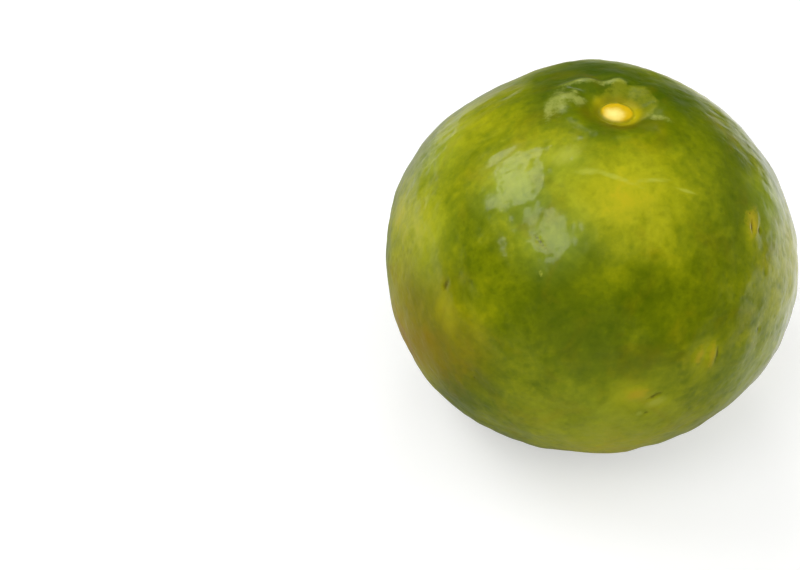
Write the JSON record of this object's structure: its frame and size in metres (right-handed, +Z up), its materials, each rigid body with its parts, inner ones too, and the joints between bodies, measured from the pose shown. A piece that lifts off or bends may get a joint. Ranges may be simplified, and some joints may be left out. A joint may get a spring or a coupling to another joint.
{
  "type": "mandarin",
  "caption": "Whole green mandarin, a squat round citrus fruit with pitted peel and a pale stem scar, resting upright on a small flat spot.",
  "frame": {"origin": "middle of the flat spot at the blossom end, under the middle of the fruit", "axes": "+Z up from the blossom end to the stem end, the fruit's short way; X and Y across its width"},
  "size_m": [0.0638, 0.063, 0.0549],
  "materials": {
    "peel": "waxy satin citrus peel, dimpled"
  },
  "bodies": {
    "root": {"mandarin": "peel"}
  },
  "joints": []
}
